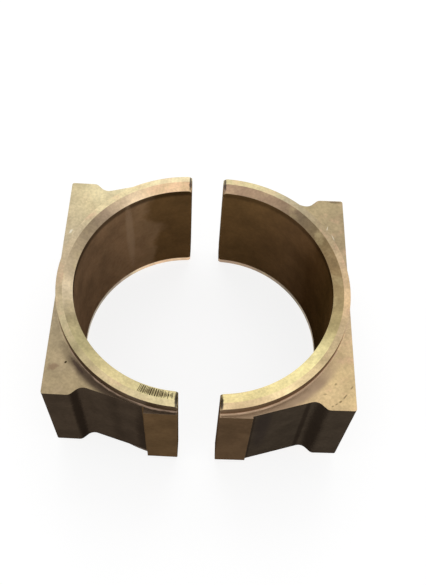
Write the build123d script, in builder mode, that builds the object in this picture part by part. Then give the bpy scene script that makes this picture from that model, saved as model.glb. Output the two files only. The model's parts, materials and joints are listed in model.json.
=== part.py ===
"""Split bearing brasses of a plummer block: two bronze halves, standing on end and drawn apart.

Each half is one casting. A round collar stands at each end, the bore between them is turned, and
each end face is dished towards the bore. The body between the collars is square: a flat back, two
corner lugs, and on each flank a cast relief that climbs from the lug to a machined pad at the
joint. The two halves are alike, turned half round from each other, and differ only by how their
castings sit round the bore.
"""

import os
from math import cos, radians, sin

from build123d import *

# ---- driving dimensions, in millimetres and degrees ------------------------------------------

bore_diameter = 100.0  # the journal that the pair runs on
brass_length = 64.0  # along the bore, over both collars
collar_wall = 7.25  # from the bore to the outside of the collar
collar_height = 5.0  # each collar stands this far off the body
collar_foot = 0.8  # radius left by the tool where the collar meets the body
dish_width = 4.4  # each end face is dished from the bore to here
dish_depth = 1.4

joint_set_back = 1.4  # each joint face stands this far off the bore's axis
joint_chamfer = 1.2  # the collar ends are broken where they meet the joint

back_land = 0.25  # the flat back clears the collar by this much
pad_stand = 1.5  # the joint pads stand proud of the collar by this much
pad_length = 13.6  # along the flank, from the joint face
relief_fall = 3.65  # from the relief at the pad down to the lug's face
valley_depth = 4.05  # the relief's lowest corner below the lug's face
valley_radius = 4.5
lug_length = 11.6  # flat of the corner lug, from the back
lug_rise_length = 4.4  # the relief climbs back to the lug over this length
lug_radius = 3.0
corner_radius = 1.0  # outer corners of the lugs

left_pad_step = 2.0  # from the pad down to the cast relief
right_pad_step = 2.8
left_cast_shift = 0.65  # the body sits this far off the bore, along the joint
right_cast_shift = 1.9

joint_gap = 16.0  # between the two joint faces, measured at the bore axes
stagger = 0.5  # the left bore axis stands this far behind the right one
left_turn = 1.3  # the left half stands this far out of square, in degrees

# ---- derived sizes ----------------------------------------------------------------------------

bore_radius = bore_diameter / 2
collar_radius = bore_radius + collar_wall
dish_radius = bore_radius + dish_width
back = collar_radius + back_land
pad_face = collar_radius + pad_stand
pad_end = joint_set_back + pad_length
lug_start = back - lug_length
valley = lug_start - lug_rise_length
swing = 2 * collar_radius  # clears the corners of the body as it turns
near = 0.001  # a point this close to a plane lies on it


def half_brass(seat, pad_step, cast_shift):
    """One half in the frame of its seat plane: X from the bore axis to the back, Z along the bore."""
    relief_top = pad_face - pad_step
    lug_face = relief_top - relief_fall
    axis_frame = Plane(origin=seat.origin, x_dir=seat.x_dir, z_dir=-seat.y_dir)
    bore_axis = Axis(seat.origin, seat.z_dir)
    outward = Axis(seat.origin, seat.x_dir)
    joint_plane = Plane(origin=seat.from_local_coords((joint_set_back, 0, 0)), z_dir=seat.x_dir)

    with BuildPart() as brass:
        # the cast body, its two flanks mirrored about the middle of the casting
        with BuildSketch(seat):
            with Locations((0, -cast_shift)):
                with BuildSketch(mode=Mode.PRIVATE) as casting:
                    with BuildLine():
                        Polyline(
                            (0, 0),
                            (0, relief_top),
                            (pad_end, relief_top),
                            (valley, lug_face - valley_depth),
                            (lug_start, lug_face),
                            (back, lug_face),
                            (back, 0),
                        )
                        mirror(about=Plane.XZ)
                    make_face()
                    corners = casting.vertices()
                    fillet(corners.filter_by_position(Axis.X, valley - near, valley + near), valley_radius)
                    fillet(corners.filter_by_position(Axis.X, lug_start - near, lug_start + near), lug_radius)
                add(casting.sketch)
            # the machined pads at the joint
            Rectangle(pad_end, 2 * pad_face, align=(Align.MIN, Align.CENTER))
        extrude(amount=brass_length)
        fillet(brass.edges().filter_by(Axis.Z).sort_by(outward)[-2:], corner_radius)

        # the collars are turned at both ends, down to the body, with a small radius at the foot
        with BuildSketch(axis_frame):
            with BuildLine():
                foot = TangentArc(
                    (collar_radius, collar_height - collar_foot),
                    (collar_radius + collar_foot, collar_height),
                    tangent=(0, 1),
                )
                Polyline(foot @ 1, (swing, collar_height), (swing, 0), (collar_radius, 0), foot @ 0)
            make_face()
            mirror(about=Plane.XZ.offset(-brass_length / 2))
        revolve(axis=bore_axis, mode=Mode.SUBTRACT)

        # where the cast flank lies inside the collar, the collar stands out over it
        with BuildSketch(seat, seat.offset(brass_length - collar_height)):
            Circle(collar_radius)
        extrude(amount=collar_height)

        # the bore with its two dished mouths, turned out of the solid
        with BuildSketch(axis_frame):
            with BuildLine():
                Polyline(
                    (0, 0),
                    (dish_radius, 0),
                    (bore_radius, dish_depth),
                    (bore_radius, brass_length - dish_depth),
                    (dish_radius, brass_length),
                    (0, brass_length),
                    close=True,
                )
            make_face()
        revolve(axis=bore_axis, mode=Mode.SUBTRACT)

        # cut at the joint, with the ends of the collars broken there
        split(bisect_by=joint_plane, keep=Keep.TOP)
        joint_edges = brass.faces().filter_by(joint_plane).group_by(outward)[0].edges()
        ends = joint_edges.filter_by_position(Axis.Z, 0, dish_depth)
        ends += joint_edges.filter_by_position(Axis.Z, brass_length - dish_depth, brass_length)
        chamfer(ends, joint_chamfer)
    return brass.part


# ---- the pair as it stands --------------------------------------------------------------------

axis_offset = joint_gap / 2 - joint_set_back
turn = radians(left_turn)
right_seat = Plane(origin=(axis_offset, 0, 0), x_dir=(1, 0, 0), z_dir=(0, 0, 1))
left_seat = Plane(origin=(-axis_offset, stagger, 0), x_dir=(-cos(turn), sin(turn), 0), z_dir=(0, 0, 1))

brasses = {
    "left_half_brass": half_brass(left_seat, left_pad_step, left_cast_shift),
    "right_half_brass": half_brass(right_seat, right_pad_step, right_cast_shift),
}

# the origin is on the floor, under the middle of the pair
middle = Compound(list(brasses.values())).bounding_box().center()

os.makedirs("parts", exist_ok=True)
for name, brass in brasses.items():
    brass.label = name
    brass.position -= Vector(middle.X, middle.Y, 0)
    export_step(brass, f"parts/{name}.step")
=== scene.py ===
"""The two half brasses of a split plummer block bearing, standing on end and drawn apart."""

import json
from math import atan2, cos, pi, radians, sin, sqrt, tan

import bmesh
import bpy
from mathutils import Matrix, Vector


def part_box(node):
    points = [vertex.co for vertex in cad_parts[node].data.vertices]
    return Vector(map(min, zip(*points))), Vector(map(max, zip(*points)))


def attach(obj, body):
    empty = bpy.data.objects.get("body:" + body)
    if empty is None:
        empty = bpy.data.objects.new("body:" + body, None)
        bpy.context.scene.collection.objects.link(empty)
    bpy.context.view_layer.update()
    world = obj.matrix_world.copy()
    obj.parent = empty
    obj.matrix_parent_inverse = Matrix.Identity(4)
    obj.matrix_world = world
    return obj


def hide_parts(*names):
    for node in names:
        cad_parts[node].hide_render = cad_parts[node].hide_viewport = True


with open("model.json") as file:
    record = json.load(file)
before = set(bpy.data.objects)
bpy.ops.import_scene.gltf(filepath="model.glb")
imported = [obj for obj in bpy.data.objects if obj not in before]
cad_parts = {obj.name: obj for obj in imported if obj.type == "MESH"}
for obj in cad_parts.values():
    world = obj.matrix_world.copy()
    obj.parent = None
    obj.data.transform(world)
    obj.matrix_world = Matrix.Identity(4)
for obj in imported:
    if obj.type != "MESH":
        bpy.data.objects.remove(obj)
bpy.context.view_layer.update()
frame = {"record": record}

# ---- Where each half stands ----------------------------------------------------------------------
# The halves are two bronze castings, each wrapping a little under half of the journal. Each stands on
# its lower collar with its joint face towards the other one, and the left one a shade out of square.

mm = 0.001
mounts = {mount["name"]: mount for mount in frame["record"]["mounts"]}


def seat(side):
    """The half's own frame: X from the bore axis out to the back, Y along the joint, Z up the bore."""
    bore = Vector(mounts[f"{side}_bore"]["pos_m"])
    outward = Vector(mounts[f"{side}_back"]["axis"])
    along_joint = Vector((0, 0, 1)).cross(outward)
    turned = Matrix((outward, along_joint, (0, 0, 1))).transposed().to_4x4()
    return Matrix.Translation((bore.x, bore.y, 0)) @ turned


def from_axis(side, face):
    """How far a face lies from the bore axis, along its own normal."""
    off_axis = Vector(mounts[f"{side}_{face}"]["pos_m"]) - Vector(mounts[f"{side}_bore"]["pos_m"])
    return abs(off_axis.dot(Vector(mounts[f"{side}_{face}"]["axis"])))


bore_radius = mounts["right_bore"]["dims"]["r_mm"] * mm
bore_wall = mounts["right_bore"]["dims"]["length_mm"] * mm
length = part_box("right_half_brass")[1][2]
back = from_axis("right", "back")
joint = from_axis("right", "joint")
pad_face = from_axis("right", "pad")

# ---- The half brass, cast and then turned --------------------------------------------------------
# One bronze casting. Its body is square, with a flat back, two corner lugs and a relieved flank on each
# side that climbs to a pad at the joint. Both ends are turned: a collar with a small radius at its foot,
# and a face dished towards the bore.

dish_depth = (length - bore_wall) / 2
dish_width = 4.4 * mm
dish_radius = bore_radius + dish_width
collar_wall = 7.25 * mm
collar_radius = bore_radius + collar_wall
collar_height = 5 * mm
collar_foot = 0.8 * mm
joint_chamfer = 1.2 * mm

pad_length = 13.6 * mm
pad_end = joint + pad_length
relief_fall = 3.65 * mm
valley_depth = 4.05 * mm
lug_length = 11.6 * mm
lug_start = back - lug_length
lug_rise = 4.4 * mm
valley = lug_start - lug_rise
corner_radii = {"valley": 4.5 * mm, "lug": 3 * mm, "corner": 1 * mm}

mesh_step = 0.9 * mm
arc_steps = 8
touching = 0.01 * mm
ZONES = BORE, DISH, RING, WALL, FLAT, MILLED, CAST, EDGE = range(8)
strips = {BORE: 12, DISH: 6, RING: 3, WALL: 5, FLAT: 10, MILLED: 30}
foot_strips = 4


def rounded(corners):
    """Points along a line of (x, y, radius) corners, closely spaced, with an arc at each radius."""
    points = []
    for i, (x, y, radius) in enumerate(corners):
        here = Vector((x, y))
        if radius == 0:
            points.append(here)
            continue
        before = (Vector(corners[i - 1][:2]) - here).normalized()
        after = (Vector(corners[i + 1][:2]) - here).normalized()
        half_angle = before.angle(after) / 2
        centre = here + (before + after).normalized() * radius / sin(half_angle)
        start = here + before * radius / tan(half_angle) - centre
        sweep = start.angle_signed(here + after * radius / tan(half_angle) - centre)
        for k in range(arc_steps + 1):
            points.append(centre + Matrix.Rotation(-sweep * k / arc_steps, 2) @ start)
    line = [points[0]]
    for start, end in zip(points, points[1:]):
        pieces = max(1, round((end - start).length / mesh_step))
        line += [start.lerp(end, k / pieces) for k in range(1, pieces + 1)]
    return line


def flank(sign, pad_step, cast_shift):
    """One side of the body's outline, from the joint round to the middle of the back."""
    relief = pad_face - pad_step - sign * cast_shift
    lug = relief - relief_fall
    corners = [
        (joint, pad_face, 0),
        (joint + joint_chamfer, pad_face, 0),
        (pad_end, pad_face, 0),
        (pad_end, relief, 0),
        (valley, lug - valley_depth, corner_radii["valley"]),
        (lug_start, lug, corner_radii["lug"]),
        (back, lug, corner_radii["corner"]),
        (back, 0, 0),
    ]
    return [Vector((point.x, sign * point.y)) for point in rounded(corners)]


def section(edge):
    """The half's section at one point of its outline, from mid bore over the top end to the flank:
    a list of (point, height, zone), where the zone is the surface that starts there."""
    reach = edge.length

    def ring(radius):
        x = max(radius * edge.x / reach, joint)
        y = sqrt(max(0, radius * radius - x * x))
        return Vector((x, y if edge.y >= 0 else -y))

    broken = max(0, joint + joint_chamfer - ring(dish_radius).x)
    bore_top = length - dish_depth - broken
    foot_start = length - collar_height + collar_foot
    flat_height = length - collar_height
    middle = length / 2
    rows = []
    for k in range(strips[BORE]):
        rows.append((ring(bore_radius), middle + (bore_top - middle) * k / strips[BORE], BORE))
    for k in range(strips[DISH]):
        radius = bore_radius + (dish_radius - bore_radius) * k / strips[DISH]
        rows.append((ring(radius), bore_top + dish_depth * k / strips[DISH], DISH))
    for k in range(strips[RING]):
        radius = dish_radius + (collar_radius - dish_radius) * k / strips[RING]
        rows.append((ring(radius), length - broken, RING))
    for k in range(strips[WALL]):
        height = length - broken + (foot_start - length + broken) * k / strips[WALL]
        rows.append((ring(collar_radius), height, WALL))
    if reach >= collar_radius:
        for k in range(foot_strips + 1):
            swing = k * pi / 2 / foot_strips
            radius = collar_radius + collar_foot * (1 - cos(swing))
            height = foot_start - collar_foot * sin(swing)
            if radius > reach:
                turn = 1 - (reach - collar_radius) / collar_foot
                radius, height = reach, foot_start - collar_foot * sqrt(1 - turn * turn)
            rows.append((ring(radius), height, FLAT))
        flat_height = height
    else:
        for k in range(foot_strips + 1):
            rows.append((ring(collar_radius), foot_start - collar_foot * k / foot_strips, WALL))
    inner = rows[-1][0]
    for k in range(1, strips[FLAT]):
        rows.append((inner.lerp(edge, k / strips[FLAT]), flat_height, FLAT))
    for k in range(strips[MILLED]):
        rows.append((edge, middle + (flat_height - middle) * (1 - k / strips[MILLED]), MILLED))
    return rows


def cast_half(side, pad_step, cast_shift):
    """The whole half as a mesh of quads in the shared frame, with the zone of each face."""
    near_side = flank(1, pad_step, cast_shift)
    far_side = flank(-1, pad_step, cast_shift)
    outline = near_side + far_side[-2::-1]
    mesh = bmesh.new()
    zone_of = mesh.faces.layers.int.new("zone")
    skin_of = mesh.verts.layers.float.new("skin")
    radius_of = mesh.verts.layers.float.new("radius")
    far_of = mesh.verts.layers.float.new("far")
    place = seat(side)
    axis = place.translation
    columns, zones = [], []
    for edge in outline:
        upper = section(edge)
        middle = (edge, length / 2, MILLED)
        lower = [(point, length - height, zone) for point, height, zone in upper[::-1]]
        loop = upper + [middle] + lower[:-1]
        on_cast = pad_end < edge.x < back - touching and abs(edge.y) < pad_face
        has_skin = on_cast and edge.x < back - corner_radii["corner"]
        column = []
        for point, height, zone in loop:
            vert = mesh.verts.new(place @ Vector((*point, height)))
            vert[radius_of] = point.length / mm
            vert[far_of] = (vert.co.y - axis.y) / point.length
            vert[skin_of] = float(has_skin and zone == MILLED)
            column.append(vert)
        columns.append(column)
        starts = [zone for _, _, zone in upper] + [MILLED]
        kinds = starts + starts[-2::-1]
        zones.append([CAST if on_cast and kind == MILLED else kind for kind in kinds])
    rows = len(columns[0])
    for column, following, kinds in zip(columns, columns[1:], zones):
        for k in range(rows):
            after = (k + 1) % rows
            face = mesh.faces.new((column[k], following[k], following[after], column[after]))
            face[zone_of] = kinds[k]
    for end in (columns[0], columns[-1]):
        mesh.faces.new(end)[zone_of] = MILLED
    bmesh.ops.remove_doubles(mesh, verts=mesh.verts, dist=touching)
    bmesh.ops.dissolve_degenerate(mesh, edges=mesh.edges, dist=touching / 2)
    bmesh.ops.recalc_face_normals(mesh, faces=mesh.faces)
    data = bpy.data.meshes.new(f"{side}_half_cast")
    mesh.to_mesh(data)
    mesh.free()
    half = bpy.data.objects.new(f"{side}_half_cast", data)
    bpy.context.scene.collection.objects.link(half)
    return half


castings = {
    "left": {"pad_step": 2.0 * mm, "cast_shift": 0.65 * mm},
    "right": {"pad_step": 2.8 * mm, "cast_shift": 1.9 * mm},
}
blanks = {side: cast_half(side, **casting) for side, casting in castings.items()}

# ---- The bronze ----------------------------------------------------------------------------------
# One leaded bronze throughout. The turned faces are bare and show the tool's fine rings, with tarnish that
# runs from straw to olive and pink, and painted reflections and highlights; the bore, the pads and the
# cast flanks have gone brown, and are painted darker still on the near side as shade.


def adder(tree):
    """add(kind, inputs, settings) for one node tree: it puts a node in, and sets or wires its inputs."""

    def add(kind, inputs=None, **settings):
        node = tree.nodes.new(kind)
        for setting, value in settings.items():
            setattr(node, setting, value)
        for socket, value in (inputs or {}).items():
            if isinstance(value, bpy.types.NodeSocket):
                tree.links.new(value, node.inputs[socket])
            else:
                node.inputs[socket].default_value = value
        return node

    return add


def new_finish(name):
    """A new material with an empty tree, and the add of that tree."""
    material = bpy.data.materials.new(name)
    material.use_nodes = True
    material.node_tree.nodes.clear()
    return material, adder(material.node_tree)


def place(add):
    """Where a point of the metal lies."""
    return add("ShaderNodeTexCoord").outputs["Object"]


def cloud(add, size, detail):
    """Noise through the metal, in patches about this size."""
    inputs = {"Vector": place(add), "Scale": 1 / size, "Detail": detail}
    return add("ShaderNodeTexNoise", inputs).outputs["Fac"]


def attribute(add, name):
    """What the mesh says of a point: its radius in mm, or how far round the half it lies."""
    return add("ShaderNodeAttribute", attribute_name=name).outputs["Fac"]


def maths(add, operation, *values):
    """One sum of values and sockets."""
    return add("ShaderNodeMath", dict(enumerate(values)), operation=operation).outputs[0]


def eased(add, value, start, end, first, last):
    """Goes from first to last while the value goes from start to end."""
    inputs = {"Value": value, "From Min": start, "From Max": end, "To Min": first, "To Max": last}
    return add("ShaderNodeMapRange", inputs, interpolation_type="SMOOTHSTEP").outputs["Result"]


def dimmed(add, colour, level):
    """The colour, or any vector, times a level."""
    return add("ShaderNodeVectorMath", {0: colour, "Scale": level}, operation="SCALE").outputs["Vector"]


def laid_over(add, colour, over, mask):
    """The colour with another laid over it where the mask is 1."""
    return add("ShaderNodeMix", {0: mask, 6: colour, 7: (*over, 1)}, data_type="RGBA").outputs[2]


def tarnish_and_painted_light(add, stops):
    """The colour round the half, tarnish and painted light together: stops of (-1 at the near joint to 1
    at the far joint, colour), whose bright stops are painted reflections and whose darker near-side stops
    are painted shade.
    """
    drift = 0.24
    wander = maths(add, "MULTIPLY_ADD", cloud(add, 22 * mm, 3.0), drift, attribute(add, "far"))
    ends = {"From Min": drift / 2 - 1, "From Max": drift / 2 + 1}
    spread = add("ShaderNodeMapRange", {"Value": wander, **ends})
    ramp = add("ShaderNodeValToRGB", {"Fac": spread.outputs["Result"]})
    elements = ramp.color_ramp.elements
    while len(elements) < len(stops):
        elements.new(0.5)
    for element, (position, colour) in zip(elements, stops):
        element.position = (position + 1) / 2
        element.color = (*colour, 1)
    return ramp.outputs["Color"]


def mottled(add, colour, size, strength):
    """The colour with darker and lighter patches of this size."""
    level = eased(add, cloud(add, size, 5.0), 0.28, 0.72, 1 - strength, 1 + strength)
    return dimmed(add, colour, level)


def with_collar_light_and_shade(add, colour, collar_light_and_shade_bands):
    """The colour with painted light and shade beside the collar, in bands: the collar's shadow and the
    reflection of its dark wall on the flat, and a painted line of reflection in the fillet at its foot.
    Each is (colour, the radius where it starts to fade, the radius where it ends, and how far round it
    starts to fade and ends)."""
    drift = 2.0
    radius = maths(add, "MULTIPLY_ADD", cloud(add, 6 * mm, 3.0), drift, attribute(add, "radius"))
    for band, inner, outer, full, gone in collar_light_and_shade_bands:
        across = eased(add, radius, inner + drift / 2, outer + drift / 2, 1.0, 0.0)
        along = eased(add, attribute(add, "far"), full, gone, 1.0, 0.0)
        colour = laid_over(add, colour, band, maths(add, "MULTIPLY", across, along))
    return colour


def with_stains_and_painted_light(add, colour, stains_and_painted_light):
    """The colour with ragged marks, both real stains and painted light and shade: each is (centre in mm,
    half sizes in mm, turn in degrees, colour, strength)."""
    raggedness = 0.9
    ragged = cloud(add, 0.9 * mm, 3.0)
    for centre, half_sizes, turn, mark_colour, strength in stains_and_painted_light:
        inputs = {
            "Vector": place(add),
            "Location": tuple(part * mm for part in centre),
            "Rotation": (0, 0, radians(turn)),
            "Scale": tuple(part * mm for part in half_sizes),
        }
        within = add("ShaderNodeMapping", inputs, vector_type="TEXTURE").outputs["Vector"]
        reach = add("ShaderNodeVectorMath", {0: within}, operation="LENGTH").outputs["Value"]
        edge = maths(add, "MULTIPLY_ADD", ragged, raggedness, reach)
        colour = laid_over(add, colour, mark_colour, eased(add, edge, 0.9, 1.6, strength, 0.0))
    return colour


def tool_rings(add, pitch):
    """Fine turning marks: a wave along the radius, wandering a little."""
    drift = 0.9
    radius = maths(add, "MULTIPLY_ADD", cloud(add, 11 * mm, 2.0), drift, attribute(add, "radius"))
    return maths(add, "SINE", maths(add, "MULTIPLY", radius, 2 * pi * mm / pitch))


def finished(add, colour, roughness, metallic, height, depth):
    """Closes a finish: the metal with its relief, duller in patches."""
    inputs = {
        "Base Color": colour,
        "Roughness": eased(add, cloud(add, 5 * mm, 4.0), 0.3, 0.7, roughness - 0.06, roughness + 0.1),
        "Metallic": metallic,
        "Specular IOR Level": 0.0,
        "Normal": add("ShaderNodeBump", {"Height": height, "Distance": depth}).outputs["Normal"],
    }
    metal = add("ShaderNodeBsdfPrincipled", inputs).outputs["BSDF"]
    add("ShaderNodeOutputMaterial", {"Surface": metal})


def turned_bronze(name, stops, tint, collar_light_and_shade_bands=(), stains_and_painted_light=()):
    """A turned face: tarnish with painted reflections and highlights, blotches of a tint, patches, painted
    light and shade beside the collar, stains and painted marks of shade, and the tool's rings.
    """
    material, add = new_finish(name)
    blotches = eased(add, cloud(add, 6 * mm, 4.0), 0.5, 0.75, 0.0, 0.4)
    colour = laid_over(add, tarnish_and_painted_light(add, stops), tint, blotches)
    colour = mottled(add, mottled(add, colour, 7 * mm, 0.12), 1.1 * mm, 0.1)
    colour = with_stains_and_painted_light(add, with_collar_light_and_shade(add, colour, collar_light_and_shade_bands), stains_and_painted_light)
    rings = tool_rings(add, pitch=0.45 * mm)
    colour = dimmed(add, colour, maths(add, "MULTIPLY_ADD", rings, 0.04, 1.0))
    finished(add, colour, roughness=0.36, metallic=1.0, height=rings, depth=0.006 * mm)
    return material


def brown_bronze(name, stops, grain, depth, metallic=0.0, foot_shade_level=1.0, rim_shade=0.0, stains_and_painted_light=()):
    """A face gone brown: tarnish with painted shade round the half, patches, stains and painted marks of
    light and shade, painted shade towards the foot and close under the rim, and a relief of the given
    grain."""
    material, add = new_finish(name)
    colour = mottled(add, mottled(add, tarnish_and_painted_light(add, stops), 11 * mm, 0.14), 1.6 * mm, 0.07)
    height = add("ShaderNodeSeparateXYZ", {"Vector": place(add)}).outputs["Z"]
    # Painted shade: darker towards the foot, and in a band close under the rim of the dish.
    colour = dimmed(add, colour, eased(add, height, 10 * mm, 56 * mm, foot_shade_level, 1.0))
    colour = dimmed(add, colour, eased(add, height, 58.2 * mm, 60.6 * mm, 1.0, 1.0 - rim_shade))
    colour = with_stains_and_painted_light(add, colour, stains_and_painted_light)
    finished(add, colour, roughness=0.45, metallic=metallic, height=cloud(add, grain, 6.0), depth=depth)
    return material


# The colour between pit and rub is painted shade, for the foot of the collar.
pit, collar_foot_shade, rub = (0.035, 0.022, 0.008), (0.07, 0.045, 0.035), (0.85, 0.78, 0.62)
speck, joint_end_dark, shade = (0.24, 0.17, 0.08), (0.06, 0.045, 0.04), (0.02, 0.013, 0.009)
pink, straw = (0.74, 0.46, 0.31), (0.62, 0.5, 0.27)

left_rim_marks = [
    # Darker strips along the ring at each end of the joint.
    ((-9.3, -53.9, 63.4), (0.8, 5, 1.6), 0, joint_end_dark, 0.9),
    ((-6.8, 54.1, 63.4), (0.8, 5, 1.6), 0, joint_end_dark, 0.9),
    ((-17.9, -51.0, 63.3), (6.6, 1.7, 2), -13, (0.3, 0.23, 0.11), 0.7),
]
left_flat_marks_and_shade = [
    ((-55.9, -36.8, 59), (0.8, 0.45, 2), 50, pit, 1.0),
    ((-61.0, -39.0, 59), (2.6, 1.8, 2), 20, (0.25, 0.16, 0.1), 0.65),
    # Painted shade along the foot of the collar, on the near side.
    ((-51.0, -38.2, 59), (5.2, 0.9, 2), -50, collar_foot_shade, 0.75),
    ((-60.3, 28.1, 59), (1.4, 0.6, 2), 60, rub, 0.8),
]
right_rim_marks = [
    # Darker strips along the ring at each end of the joint.
    ((9.2, -54.4, 63.4), (0.8, 5, 1.6), 0, joint_end_dark, 0.9),
    ((9.2, 53.6, 63.4), (0.8, 5, 1.6), 0, joint_end_dark, 0.9),
]
right_flat_marks = [
    ((63.2, -44.3, 59), (1.2, 0.3, 2), 55, speck, 0.8),
    ((60.1, -48.5, 59), (1.5, 0.35, 2), 50, pit, 0.6),
    ((58.1, -50.7, 59), (0.9, 0.4, 2), 40, speck, 0.9),
    ((56.3, -51.9, 59), (0.8, 0.3, 2), 30, speck, 0.8),
    ((54.7, -52.9, 59), (0.7, 0.35, 2), 30, pit, 0.5),
    ((51.8, -47.6, 59), (0.9, 0.4, 2), 0, speck, 0.6),
    ((56.5, -43.0, 59), (0.7, 0.5, 2), 40, speck, 0.6),
    ((56.6, 33.6, 59), (2.2, 0.25, 2), 75, rub, 0.7),
    ((59.2, 29.4, 59), (2.0, 0.25, 2), 110, rub, 0.6),
    ((61.0, 49.3, 59), (3.4, 0.7, 2), 0, (0.12, 0.08, 0.04), 0.6),
]

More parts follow.
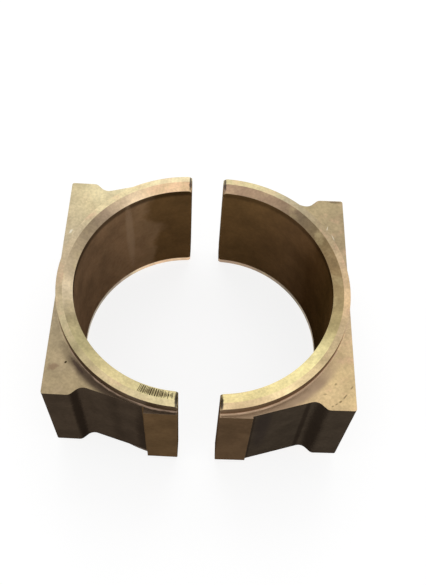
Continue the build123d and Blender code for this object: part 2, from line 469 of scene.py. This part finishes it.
# The stops round each half hold the light and shade at each place as well as the tarnish: the brightest
# stops on the dishes, rings and flats are painted reflections and highlights, and the bores, walls, pads,
# flanks and edges are painted darker on the near side as shade.
finishes = {
    "left": [
        brown_bronze(
            "left_bore",
            [
                (-1, (0.2, 0.12, 0.065)),
                (0.1, (0.2, 0.12, 0.065)),
                (0.5, (0.25, 0.15, 0.08)),
                (0.8, (0.3, 0.18, 0.095)),
                (0.92, (0.32, 0.195, 0.1)),
                (0.95, (0.18, 0.1, 0.038)),
            ],
            2 * mm,
            0.01 * mm,
            rim_shade=0.6,
            # Painted highlight: a light streak down the far side of the bore.
            stains_and_painted_light=[((-35.3, 40.6, 38), (2.4, 2.4, 30), 0, (0.46, 0.31, 0.19), 0.5)],
        ),
        turned_bronze(
            "left_dish",
            [
                (-1, (0.74, 0.64, 0.34)),
                (-0.8, (0.74, 0.62, 0.32)),
                (-0.6, (0.45, 0.39, 0.2)),
                (-0.35, (0.37, 0.3, 0.17)),
                (-0.1, (0.74, 0.6, 0.4)),
                (0.2, (0.42, 0.33, 0.21)),
                (0.55, (0.31, 0.235, 0.15)),
                (0.72, (0.34, 0.25, 0.17)),
                (0.85, (0.86, 0.66, 0.43)),
                (1, (0.84, 0.56, 0.34)),
            ],
            straw,
            stains_and_painted_light=left_rim_marks,
        ),
        turned_bronze(
            "left_ring",
            [
                (-1, (0.7, 0.59, 0.34)),
                (-0.8, (0.62, 0.5, 0.29)),
                (-0.6, (0.43, 0.36, 0.2)),
                (-0.35, (0.6, 0.5, 0.3)),
                (0, (0.5, 0.39, 0.25)),
                (0.45, (0.6, 0.49, 0.32)),
                (0.7, (0.75, 0.63, 0.38)),
                (0.86, (0.95, 0.8, 0.47)),
                (1, (0.93, 0.8, 0.5)),
            ],
            pink,
            stains_and_painted_light=left_rim_marks[:2],
        ),
        brown_bronze(
            "left_wall",
            [(-1, (0.1, 0.062, 0.032)), (1, (0.2, 0.14, 0.08))],
            1 * mm,
            0.01 * mm,
            metallic=0.5,
        ),
        turned_bronze(
            "left_flat",
            [
                (-1, (0.42, 0.32, 0.18)),
                (-0.3, (0.4, 0.32, 0.2)),
                (0.4, (0.58, 0.48, 0.32)),
                (0.7, (0.68, 0.57, 0.34)),
                (0.9, (0.92, 0.81, 0.5)),
            ],
            (0.55, 0.42, 0.27),
            # Painted shade of the collar and reflection of its wall on the near flat, then a painted
            # reflection line in the fillet at the collar's foot.
            collar_light_and_shade_bands=[
                ((0.1, 0.07, 0.047), 59.6, 63.0, -0.72, -0.42),
                ((0.3, 0.21, 0.15), 57.4, 57.9, -0.7, 0.0),
            ],
            stains_and_painted_light=left_flat_marks_and_shade,
        ),
        brown_bronze(
            "left_milled", [(-1, (0.14, 0.083, 0.039)), (1, (0.22, 0.15, 0.08))], 3 * mm, 0.01 * mm
        ),
        brown_bronze(
            "left_cast",
            [(-1, (0.066, 0.046, 0.031)), (1, (0.08, 0.058, 0.038))],
            0.8 * mm,
            0.08 * mm,
            stains_and_painted_light=[
                ((-51.6, -50.0, 32), (2.2, 5, 60), 0, shade, 0.75),
                ((-36.0, -54.0, 32), (3.6, 5, 60), 0, shade, 0.25),
                ((-24.5, -56.5, 24), (3.4, 4, 40), 0, shade, 0.45),
                ((-20.9, -56.5, 10), (1.2, 4, 14), 0, shade, 0.8),
            ],
        ),
        brown_bronze(
            "left_edge",
            [(-1, (0.34, 0.26, 0.16)), (0.4, (0.44, 0.35, 0.22)), (1, (0.66, 0.55, 0.33))],
            1 * mm,
            0.005 * mm,
            foot_shade_level=0.2,
        ),
    ],
    "right": [
        brown_bronze(
            "right_bore",
            [
                (-1, (0.1, 0.055, 0.02)),
                (0.1, (0.08, 0.042, 0.013)),
                (0.45, (0.1, 0.05, 0.018)),
                (0.7, (0.19, 0.105, 0.046)),
                (1, (0.21, 0.118, 0.045)),
            ],
            2 * mm,
            0.01 * mm,
            foot_shade_level=0.75,
            rim_shade=0.4,
        ),
        turned_bronze(
            "right_dish",
            [
                (-1, (0.88, 0.73, 0.36)),
                (-0.8, (0.93, 0.8, 0.4)),
                (-0.6, (0.88, 0.77, 0.39)),
                (-0.38, (0.46, 0.37, 0.18)),
                (-0.1, (0.37, 0.28, 0.14)),
                (0.2, (0.29, 0.2, 0.1)),
                (0.5, (0.21, 0.15, 0.075)),
                (0.7, (0.21, 0.155, 0.095)),
                (1, (0.43, 0.29, 0.19)),
            ],
            straw,
            stains_and_painted_light=right_rim_marks,
        ),
        turned_bronze(
            "right_ring",
            [
                (-1, (0.72, 0.54, 0.31)),
                (-0.88, (1.0, 0.79, 0.45)),
                (-0.62, (0.58, 0.45, 0.25)),
                (-0.38, (0.55, 0.42, 0.25)),
                (-0.1, (0.75, 0.53, 0.3)),
                (0.2, (0.58, 0.43, 0.26)),
                (0.6, (0.42, 0.33, 0.2)),
                (0.86, (0.53, 0.45, 0.3)),
                (1, (0.8, 0.68, 0.38)),
            ],
            pink,
            stains_and_painted_light=right_rim_marks,
        ),
        brown_bronze(
            "right_wall",
            [(-1, (0.18, 0.11, 0.06)), (1, (0.26, 0.18, 0.1))],
            1 * mm,
            0.01 * mm,
            metallic=0.5,
        ),
        turned_bronze(
            "right_flat",
            [
                (-1, (0.66, 0.48, 0.28)),
                (-0.6, (0.68, 0.51, 0.27)),
                (-0.2, (0.56, 0.42, 0.26)),
                (0.3, (0.43, 0.33, 0.2)),
                (0.75, (0.44, 0.35, 0.2)),
                (0.95, (0.76, 0.68, 0.42)),
            ],
            pink,
            # Painted shade of the collar and reflection of its wall on the near flat, then a painted
            # reflection line in the fillet at the collar's foot.
            collar_light_and_shade_bands=[
                ((0.4, 0.28, 0.18), 60.6, 63.8, -0.75, -0.42),
                ((0.52, 0.36, 0.25), 57.4, 57.9, -0.6, 0.2),
            ],
            stains_and_painted_light=right_flat_marks,
        ),
        brown_bronze(
            "right_milled", [(-1, (0.124, 0.075, 0.04)), (1, (0.22, 0.15, 0.08))], 3 * mm, 0.01 * mm
        ),
        brown_bronze(
            "right_cast",
            [(-1, (0.062, 0.046, 0.032)), (1, (0.08, 0.058, 0.038))],
            0.8 * mm,
            0.08 * mm,
            stains_and_painted_light=[
                ((51.0, -51.6, 32), (3.6, 6, 60), 0, shade, 0.7),
                ((45.2, -51.6, 32), (1.4, 6, 60), 0, shade, 0.6),
                ((27.0, -57.0, 44), (4.0, 6, 30), 0, (0.035, 0.026, 0.024), 0.5),
                ((22.9, -58.0, 32), (0.5, 4, 60), 0, shade, 0.4),
            ],
        ),
        brown_bronze(
            "right_edge",
            [(-1, (0.44, 0.33, 0.2)), (0.4, (0.38, 0.29, 0.18)), (1, (0.54, 0.45, 0.27))],
            1 * mm,
            0.005 * mm,
            foot_shade_level=0.2,
        ),
    ],
}

chatter_dark, add = new_finish("left_chatter")
dark = mottled(add, tarnish_and_painted_light(add, [(-1, (0.055, 0.04, 0.018)), (1, (0.07, 0.05, 0.025))]), 0.8 * mm, 0.3)
finished(add, dark, roughness=0.5, metallic=1.0, height=cloud(add, 0.3 * mm, 2.0), depth=0.01 * mm)
finishes["left"].append(chatter_dark)

# ---- Skin, chatter and edges ---------------------------------------------------------------------
# The flanks keep the uneven skin of the sand mould, and every edge is broken by handling. Near the left
# joint the boring tool has chattered on the dished face, and left a row of fine cuts across it.

skin_sizes = {"Skin depth": 0.07 * mm, "Skin grain": 2.6 * mm, "Swell": 0.1 * mm, "Swell width": 14 * mm}
chatter_sizes = {
    "Cuts": 30,
    "First cut": radians(3.9),
    "Cut pitch": radians(0.53),
    "Cut length": 4.1 * mm,
    "Cut width": 0.26 * mm,
    "Cut seed": 5,
}
CHATTER = len(ZONES)
cut_thickness = 0.03 * mm
cut_jitter = 0.35


def cut_row(add, given):
    """The row of cuts, laid across the dished face in the half's own frame."""
    slope = atan2(dish_depth, dish_width)
    middle = (bore_radius + dish_radius) / 2 + 0.1 * mm
    index = add("GeometryNodeInputIndex").outputs[0]

    def chance(low, high, salt):
        inputs = {2: low, 3: high, "ID": index, "Seed": maths(add, "ADD", given["Cut seed"], salt)}
        return add("FunctionNodeRandomValue", inputs, data_type="FLOAT").outputs[1]

    step = maths(add, "ADD", index, chance(-cut_jitter, cut_jitter, 1))
    steps = maths(add, "MULTIPLY", step, given["Cut pitch"])
    bearing = maths(add, "SUBTRACT", radians(90), maths(add, "ADD", steps, given["First cut"]))
    shortest = eased(add, maths(add, "DIVIDE", index, given["Cuts"]), 0.1, 0.45, 0.25, 0.95)
    stretch = chance(shortest, 1.0, 2)
    spot = {
        "X": maths(add, "MULTIPLY", maths(add, "COSINE", bearing), middle),
        "Y": maths(add, "MULTIPLY", maths(add, "SINE", bearing), middle),
        "Z": length - dish_depth + (middle - bore_radius) * tan(slope),
    }
    spots = add(
        "GeometryNodePoints",
        {"Count": given["Cuts"], "Position": add("ShaderNodeCombineXYZ", spot).outputs[0]},
    ).outputs[0]
    size = {"X": given["Cut length"], "Y": given["Cut width"], "Z": cut_thickness}
    cut = add("GeometryNodeMeshCube", {"Size": add("ShaderNodeCombineXYZ", size).outputs[0]}).outputs[0]
    lie = add("ShaderNodeCombineXYZ", {"Y": -slope, "Z": bearing}).outputs[0]
    inputs = {
        "Points": spots,
        "Instance": cut,
        "Rotation": add("FunctionNodeEulerToRotation", {0: lie}).outputs[0],
        "Scale": add("ShaderNodeCombineXYZ", {"X": stretch, "Y": 1.0, "Z": 1.0}).outputs[0],
    }
    row = add("GeometryNodeInstanceOnPoints", inputs).outputs[0]
    stand = seat("left")
    return add(
        "GeometryNodeTransform",
        {"Geometry": row, "Translation": stand.translation, "Rotation": (0, 0, stand.to_euler().z)},
    ).outputs[0]


def finishing_tree(side, sizes):
    """The tree for one half, with its sizes as named inputs."""
    tree = bpy.data.node_groups.new(f"{side}_finishing", "GeometryNodeTree")
    tree.interface.new_socket("Geometry", in_out="INPUT", socket_type="NodeSocketGeometry")
    for name, value in sizes.items():
        kind = "NodeSocketInt" if isinstance(value, int) else "NodeSocketFloat"
        tree.interface.new_socket(name, in_out="INPUT", socket_type=kind)
    tree.interface.new_socket("Geometry", in_out="OUTPUT", socket_type="NodeSocketGeometry")
    add = adder(tree)
    given = add("NodeGroupInput").outputs
    position = add("GeometryNodeInputPosition").outputs[0]
    skin = add("GeometryNodeInputNamedAttribute", {"Name": "skin"}, data_type="FLOAT").outputs["Attribute"]

    def uneven(size, depth):
        noise = {"Vector": position, "Scale": maths(add, "DIVIDE", 1.0, size), "Detail": 3.0}
        relief = add("ShaderNodeTexNoise", noise).outputs[0]
        return maths(add, "MULTIPLY", maths(add, "SUBTRACT", relief, 0.5), depth)

    fine = uneven(given["Skin grain"], given["Skin depth"])
    broad = uneven(given["Swell width"], given["Swell"])
    push = maths(add, "ADD", fine, broad)
    normal = add("GeometryNodeInputNormal").outputs[0]
    offset = dimmed(add, normal, maths(add, "MULTIPLY", push, skin))
    shape = add("GeometryNodeSetPosition", {"Geometry": given["Geometry"], "Offset": offset}).outputs[0]

    def equals(value, number):
        inputs = {2: value, 3: number}
        return add("FunctionNodeCompare", inputs, data_type="INT", operation="EQUAL").outputs[0]

    def zoned(geometry, number, where=True):
        inputs = {"Geometry": geometry, "Selection": where, "Name": "zone", "Value": number}
        return add("GeometryNodeStoreNamedAttribute", inputs, data_type="INT", domain="FACE").outputs[0]

    shape = zoned(shape, EDGE, equals(add("GeometryNodeInputMaterialIndex").outputs[0], EDGE))
    if "Cuts" in sizes:
        joined = add("GeometryNodeJoinGeometry")
        cuts = add("GeometryNodeRealizeInstances", {"Geometry": cut_row(add, given)}).outputs[0]
        for part in (zoned(cuts, CHATTER), shape):
            tree.links.new(part, joined.inputs[0])
        shape = joined.outputs[0]
    shape = add("GeometryNodeRealizeInstances", {"Geometry": shape}).outputs[0]
    zone = add("GeometryNodeInputNamedAttribute", {"Name": "zone"}, data_type="INT").outputs["Attribute"]
    for number, material in enumerate(finishes[side]):
        inputs = {"Geometry": shape, "Selection": equals(zone, number), "Material": material}
        shape = add("GeometryNodeSetMaterial", inputs).outputs[0]
    add("NodeGroupOutput", {"Geometry": shape})
    return tree


for side, blank in blanks.items():
    for material in finishes[side]:
        blank.data.materials.append(material)
    edges = blank.modifiers.new("broken edges", "BEVEL")
    edges.width = 0.3 * mm
    edges.segments = 2
    edges.limit_method = "ANGLE"
    edges.angle_limit = radians(32)
    edges.material = EDGE
    sizes = skin_sizes | (chatter_sizes if side == "left" else {})
    skin = blank.modifiers.new("skin, chatter and zones", "NODES")
    skin.node_group = finishing_tree(side, sizes)
    for socket in skin.node_group.interface.items_tree:
        if socket.name in sizes:
            skin[socket.identifier] = sizes[socket.name]
    shaped = blank.evaluated_get(bpy.context.evaluated_depsgraph_get())
    finished_mesh = bpy.data.meshes.new_from_object(shaped)
    finished_mesh.name = f"{side}_half"
    bpy.data.objects.remove(blank)
    finished_mesh.shade_smooth()
    finished_mesh.set_sharp_from_angle(angle=radians(30))
    half = bpy.data.objects.new(f"{side}_half", finished_mesh)
    bpy.context.scene.collection.objects.link(half)
    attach(half, "root")
    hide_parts(f"{side}_half_brass")

# ---- The bench, the light and the camera ---------------------------------------------------------
# A plain white bench top in soft light. The lamp hangs behind, so the flanks in front lie in the shade.

bench_half = 2.0
bench_grey = 0.8
bench_glow, glow_share = 1.15, 0.72
soft_light, white_light = 0.75, 1.0
bench_mesh = bpy.data.meshes.new("bench")
corners = [(x * bench_half, y * bench_half, 0) for x, y in ((-1, -1), (1, -1), (1, 1), (-1, 1))]
bench_mesh.from_pydata(corners, [], [(0, 1, 2, 3)])
bench = bpy.data.objects.new("bench", bench_mesh)
bpy.context.scene.collection.objects.link(bench)


def seen_directly(add):
    """1 for what the camera sees, by itself or in metal and glass, and 0 for light on its way."""
    path = add("ShaderNodeLightPath").outputs
    seen = maths(add, "MAXIMUM", path["Is Camera Ray"], path["Is Glossy Ray"])
    return maths(add, "MAXIMUM", seen, path["Is Transmission Ray"])


bench_top, add = new_finish("bench_top")
paint = add("ShaderNodeBsdfDiffuse", {"Color": (bench_grey, bench_grey, bench_grey, 1)}).outputs[0]
glow = add("ShaderNodeEmission", {"Color": (1, 1, 1, 1), "Strength": bench_glow}).outputs[0]
lit = add("ShaderNodeMixShader", {0: glow_share, 1: paint, 2: glow}).outputs[0]
shown = add("ShaderNodeMixShader", {0: seen_directly(add), 1: paint, 2: lit}).outputs[0]
add("ShaderNodeOutputMaterial", {"Surface": shown})
bench_mesh.materials.append(bench_top)

studio = bpy.data.worlds.new("studio")
bpy.context.scene.world = studio
studio.use_nodes = True
studio.node_tree.nodes.clear()
add = adder(studio.node_tree)
soft = add("ShaderNodeBackground", {"Color": (1, 1, 1, 1), "Strength": soft_light}).outputs[0]
white = add("ShaderNodeBackground", {"Color": (1, 1, 1, 1), "Strength": white_light}).outputs[0]
sky = add("ShaderNodeMixShader", {0: seen_directly(add), 1: soft, 2: white}).outputs[0]
add("ShaderNodeOutputWorld", {"Surface": sky})

lamp_data = bpy.data.lights.new("lamp", "AREA")
lamp_data.energy = 4
lamp_data.size = 0.9
lamp = bpy.data.objects.new("lamp", lamp_data)
lamp.matrix_world = Matrix.Translation((0, 0.8, 0.9)) @ Matrix.Rotation(radians(-42), 4, "X")
lamp.visible_glossy = False
bpy.context.scene.collection.objects.link(lamp)

camera_data = bpy.data.cameras.new("camera")
camera_data.lens = 50.61
camera = bpy.data.objects.new("camera", camera_data)
tilt, turn, roll = radians(29.28), radians(-2.61), radians(4.2)
camera.matrix_world = (
    Matrix.Translation((-3.27 * mm, -177.38 * mm, 373.27 * mm))
    @ Matrix.Rotation(turn, 4, "Z")
    @ Matrix.Rotation(tilt, 4, "X")
    @ Matrix.Rotation(roll, 4, "Z")
)
bpy.context.scene.collection.objects.link(camera)
bpy.context.scene.camera = camera
bpy.context.scene.view_settings.view_transform = "Standard"
